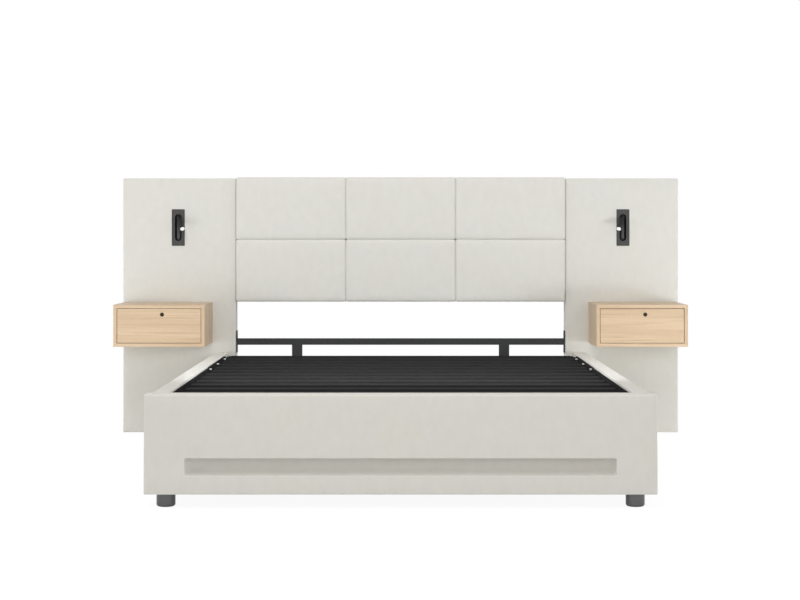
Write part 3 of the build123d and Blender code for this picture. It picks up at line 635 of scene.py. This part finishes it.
# ------------------------------------------------------------------ padded tiles
# Six foam tiles in two rows, each wrapped in cloth and screwed to the panel from behind.
# They crown slightly, and their rolled edges meet in narrow valleys.
low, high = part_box("pad_upper_left")
tile_spread, tile_start_back, tile_roll, roll_flat = 0.00028, 0.0015, 0.010, 0.75
tile_net, fold_reach = 0.013, 0.0001
thick = (high.y - low.y - tile_start_back) / roll_flat
tile = cube("tile_pattern", (low.x - tile_spread, high.y - thick, low.z - tile_spread),
            (high.x + tile_spread, high.y, high.z + tile_spread))
edit(tile)
pick(tile, "EDGE", lambda e: max(v.co.y for v in e.verts) < high.y - thick / 2)
bpy.ops.mesh.bevel(offset=tile_roll, segments=4, profile=0.48, affect="EDGES")
bpy.ops.mesh.select_all(action="SELECT")
bpy.ops.transform.resize(value=(1, roll_flat, 1), center_override=(0, high.y, 0))
divide(tile, tile_net, 2 * tile_roll)
fold = high.y - (thick - tile_roll) * roll_flat
pick(tile, "EDGE", lambda e: all(abs(v.co.y - fold) < fold_reach for v in e.verts))
bpy.ops.transform.edge_crease(value=0.9)
close_edit()
swell(tile, lambda p: p.y > fold - fold_reach, pressure=2.0, cap=0.0012)
for point in tile.data.vertices:
    point.co.x = min(max(point.co.x, low.x - tile_spread), high.x + tile_spread)
    point.co.z = min(max(point.co.z, low.z - tile_spread), high.z + tile_spread)
refine(tile)
pattern_place = low.copy()
for row in ("upper", "lower"):
    for column in ("left", "middle", "right"):
        low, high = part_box(f"pad_{row}_{column}")
        only(tile)
        bpy.ops.object.duplicate()
        pad = bpy.context.object
        pad.name = pad.data.name = f"tile_{row}_{column}"
        bpy.ops.transform.translate(value=low - pattern_place)
        bpy.ops.object.transform_apply(location=True, rotation=True, scale=True)
        dress(pad, cloth, "pad_fabric", 0.9, f"pad_{row}_{column}")
bpy.data.objects.remove(tile)


# ------------------------------------------------------------------ bedside drawer units
# Floating cases of 15 mm oak board, mitred at the corners, with an inset drawer front.
# The grain wraps round the case, and everything is sealed with a clear satin lacquer.
unit_low, unit_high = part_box("right_unit_case")
unit_middle = (unit_low + unit_high) / 2
unit_half = (unit_high - unit_low) / 2
mitre_line = 0.0003


def oak(name, wraps):
    """Pale oak; on the case its grain turns upright in the two side boards, and its top is painted
    darker as shade.
    """
    material, tree, place = new_material(name)
    flat = grain_along(tree, place, "X")
    mitre = 0.0
    if wraps:
        parts = node(tree, "SeparateXYZ", {0: place}).outputs
        out = maths(tree, "ABSOLUTE", parts[0])
        aside = maths(tree, "ABSOLUTE", maths(tree, "SUBTRACT", out, unit_middle.x))
        above = maths(tree, "ABSOLUTE", maths(tree, "SUBTRACT", parts[2], unit_middle.z))
        to_side = maths(tree, "SUBTRACT", unit_half.x, aside)
        to_top = maths(tree, "SUBTRACT", unit_half.z, above)
        is_side = maths(tree, "LESS_THAN", to_side, to_top)
        flat = node(tree, "Mix", {0: is_side, 4: flat, 5: grain_along(tree, place, "Z")},
                    data_type="VECTOR").outputs[1]
        from_mitre = maths(tree, "ABSOLUTE", maths(tree, "SUBTRACT", to_side, to_top))
        mitre = maths(tree, "LESS_THAN", from_mitre, mitre_line)
    wood = use(tree, wood_figure, Vector=flat, Ring_Scale=7.0, Waviness=3.0)
    colour = tint(tree, spread(tree, wood["Figure"], 0.3, 0.7),
                  (0.594, 0.430, 0.273, 1), (0.642, 0.474, 0.313, 1))
    colour = tint(tree, wood["Streaks"], colour, (0.530, 0.368, 0.229, 1))
    colour = shade(tree, colour, spread(tree, wood["Fibres"], 0.25, 0.75, 0.97, 1.025))
    colour = shade(tree, colour, spread(tree, wood["Pores"], 0.0, 1.0, 1.0, 0.88))
    if wraps:
        turned = node(tree, "TexCoord").outputs["Normal"]
        painted_shade_on_top = node(tree, "SeparateXYZ", {0: turned}).outputs[2]
        # The case's upward faces are painted up to a tenth darker: painted shade on the top.
        colour = shade(tree, colour, spread(tree, painted_shade_on_top, 0.6, 0.95, 1.0, 0.9))
        colour = shade(tree, colour, spread(tree, mitre, 0.0, 1.0, 1.0, 0.7))
    surface(tree, colour, spread(tree, wood["Fibres"], 0.2, 0.8, 0.36, 0.5),
            maths(tree, "SUBTRACT", wood["Fibres"], wood["Pores"]), 0.0001,
            Coat_Weight=0.12, Coat_Roughness=0.3)
    return material


paint(oak("oak_case", True), "left_unit_case", "right_unit_case")
paint(oak("oak_front", False), "left_drawer_front", "right_drawer_front", "unit_backs")


# ------------------------------------------------------------------ drawer boxes
# Three-sided boxes of sealed birch with a thin bottom let into the sides. They ride on
# the glides and are screwed to the back of the drawer front.
birch, tree, place = new_material("birch_ply")
facing = node(tree, "TexCoord").outputs["Normal"]
facing = node(tree, "VectorMath", {0: facing}, operation="ABSOLUTE").outputs[0]
is_side = maths(tree, "GREATER_THAN", node(tree, "SeparateXYZ", {0: facing}).outputs[0], 0.5)
turned = node(tree, "Mix", {0: is_side, 4: grain_along(tree, place, "X"),
                            5: grain_along(tree, place, "Y")},
              data_type="VECTOR").outputs[1]
wood = use(tree, wood_figure, Vector=turned, Ring_Scale=5.0, Waviness=4.0)
colour = tint(tree, wood["Figure"], (0.66, 0.53, 0.37, 1), (0.76, 0.64, 0.47, 1))
colour = shade(tree, colour, spread(tree, wood["Fibres"], 0.25, 0.75, 0.96, 1.03))
surface(tree, colour, spread(tree, wood["Fibres"], 0.2, 0.8, 0.45, 0.6), wood["Fibres"], 0.0001)
paint(birch, "left_drawer_box", "right_drawer_box", "left_drawer_bottom", "right_drawer_bottom")


# ------------------------------------------------------------------ drawer locks
# Small round cam locks in dark bronze, let into the drawer front near its top edge. The
# plug and its key slot turn in the fixed barrel.
bronze, tree, place = new_material("dark_bronze")
rub = noise(tree, place, 700.0, 3.0)
colour = tint(tree, spread(tree, rub, 0.3, 0.7),
              (0.022, 0.014, 0.008, 1), (0.044, 0.030, 0.018, 1))
surface(tree, colour, spread(tree, rub, 0.2, 0.8, 0.36, 0.52), rub, 0.00005, Metallic=0.3,
        Specular_IOR_Level=0.3)
paint(bronze, "left_lock_barrel", "right_lock_barrel", "left_lock_plug", "right_lock_plug")


# ------------------------------------------------------------------ reading lamps
# An enamelled flat plate with a brighter trough behind it, let into each wing. A slim tube
# hangs in it on a swivel and tips out; its end holds a frosted white lens that glows faintly.
plate_front_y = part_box("left_lamp_cup")[0].y
trough_starts, trough_full = plate_front_y + 0.0006, plate_front_y + 0.0012
lamp_grey, tree, place = new_material("lamp_enamel")
coat = use(tree, baked_coat, Vector=place, Grain=1500.0)
place_y = node(tree, "SeparateXYZ", {0: place}).outputs[1]
inside = spread(tree, place_y, trough_starts, trough_full)
colour = tint(tree, spread(tree, coat["Haze"], 0.3, 0.7),
              (0.037, 0.036, 0.034, 1), (0.044, 0.043, 0.041, 1))
colour = tint(tree, inside, colour, (0.062, 0.060, 0.062, 1))
gloss = spread(tree, inside, 0.0, 1.0, 0.55, 0.3)
surface(tree, colour, gloss, coat["Peel"], 0.00008, Metallic=inside)
paint(lamp_grey, "left_lamp_cup", "right_lamp_cup")
lamp_dark = coated("lamp_tube_enamel", (0.014, 0.0135, 0.013, 1), smooth=0.5, rough=0.6,
                   grain=1500.0, depth=0.00008, Specular_IOR_Level=0.25)
paint(lamp_dark, "left_lamp_tube", "right_lamp_tube", "left_lamp_swivel", "right_lamp_swivel")
lens, tree, place = new_material("frosted_lens")
frost = noise(tree, place, 2500.0, 2.0)
colour = tint(tree, frost, (0.86, 0.86, 0.84, 1), (0.93, 0.93, 0.91, 1))
surface(tree, colour, spread(tree, frost, 0.0, 1.0, 0.35, 0.5), frost, 0.00005,
        Emission_Color=(1.0, 0.98, 0.94, 1), Emission_Strength=0.2)
paint(lens, "left_lamp_lens", "right_lamp_lens")


# ------------------------------------------------------------------ studio
# White floor and surround, a broad light over the foot end, a weak one in front, and low
# fills before the headboard and beside each wing. The camera is level, on the centre line.
bpy.ops.object.select_all(action="DESELECT")
bpy.ops.mesh.primitive_plane_add(size=60.0, location=(0, 0, 0))
floor = bpy.context.object
floor.name = "studio_floor"
floor_paint, tree, place = new_material("studio_white")
seen_glow, mirrored_glow, floor_white, glow_strength = 0.9, 0.5, 0.9, 1.04
path = node(tree, "LightPath").outputs
mirrored = maths(tree, "ADD", path["Is Glossy Ray"], path["Is Transmission Ray"])
seen = maths(tree, "ADD", maths(tree, "MULTIPLY", path["Is Camera Ray"], seen_glow),
             maths(tree, "MULTIPLY", mirrored, mirrored_glow))
glow = node(tree, "Emission", {"Color": (1, 1, 1, 1), "Strength": glow_strength})
matt = node(tree, "BsdfDiffuse", {"Color": (floor_white, floor_white, floor_white, 1)})
mixed = node(tree, "MixShader", {0: seen, 1: matt.outputs[0], 2: glow.outputs[0]})
node(tree, "OutputMaterial", {"Surface": mixed.outputs[0]})
floor.data.materials.append(floor_paint)

world = bpy.data.worlds.new("studio_surround")
world.use_nodes = True
tree = world.node_tree
tree.nodes.clear()
bpy.context.scene.world = world
lighting, background = 0.71, 1.0
path = node(tree, "LightPath").outputs
mirrored = maths(tree, "ADD", path["Is Glossy Ray"], path["Is Transmission Ray"])
seen = maths(tree, "ADD", path["Is Camera Ray"], mirrored)
strength = spread(tree, seen, 0.0, 1.0, lighting, background)
sky = node(tree, "Background", {"Color": (1, 1, 1, 1), "Strength": strength})
node(tree, "OutputWorld", {"Surface": sky.outputs[0]})


def soft_light(name, place, aim, width, depth, power, colour):
    """Broad rectangular lamp turned towards a point."""
    lamp = bpy.data.lights.new(name, "AREA")
    lamp.shape = "RECTANGLE"
    lamp.size, lamp.size_y = width, depth
    lamp.energy, lamp.color = power, colour
    holder = bpy.data.objects.new(name, lamp)
    holder.location = place
    holder.rotation_euler = (Vector(aim) - Vector(place)).to_track_quat("-Z", "Y").to_euler()
    holder.visible_camera = False
    bpy.context.scene.collection.objects.link(holder)


soft_light("top_light", (-0.6, -1.9, 3.0), aim=(0, -1.0, 0.3),
           width=2.2, depth=1.0, power=35.0, colour=(1.0, 1.0, 1.0))
soft_light("front_fill", (1.2, -4.5, 1.6), aim=(0.3, -1.1, 0.3),
           width=2.4, depth=1.2, power=13.6, colour=(1.0, 1.0, 1.0))
soft_light("deck_fill", (0, -0.5, 0.62), aim=(0, 1.0, 0.62),
           width=1.5, depth=0.25, power=5.8, colour=(0.93, 0.975, 1.0))
soft_light("left_fill", (-2.4, -0.7, 0.35), aim=(-1.05, 1.03, 0.22),
           width=0.8, depth=0.5, power=9.4, colour=(0.86, 0.95, 1.0))
soft_light("right_fill", (2.4, -0.7, 0.26), aim=(1.05, 1.03, 0.22),
           width=0.8, depth=0.3, power=12.8, colour=(0.88, 0.96, 1.0))

camera = bpy.data.objects.new("camera", bpy.data.cameras.new("camera"))
eye_distance, eye_height = 6.5735, 0.8857
camera.location = (0, -eye_distance, eye_height)
camera.rotation_euler = (radians(90), 0, 0)
camera.data.lens, camera.data.sensor_width = 76.5, 36.0
camera.data.shift_x, camera.data.shift_y = -0.00075, -0.0821
bpy.context.scene.collection.objects.link(camera)
bpy.context.scene.camera = camera
bpy.context.scene.view_settings.view_transform = "Standard"
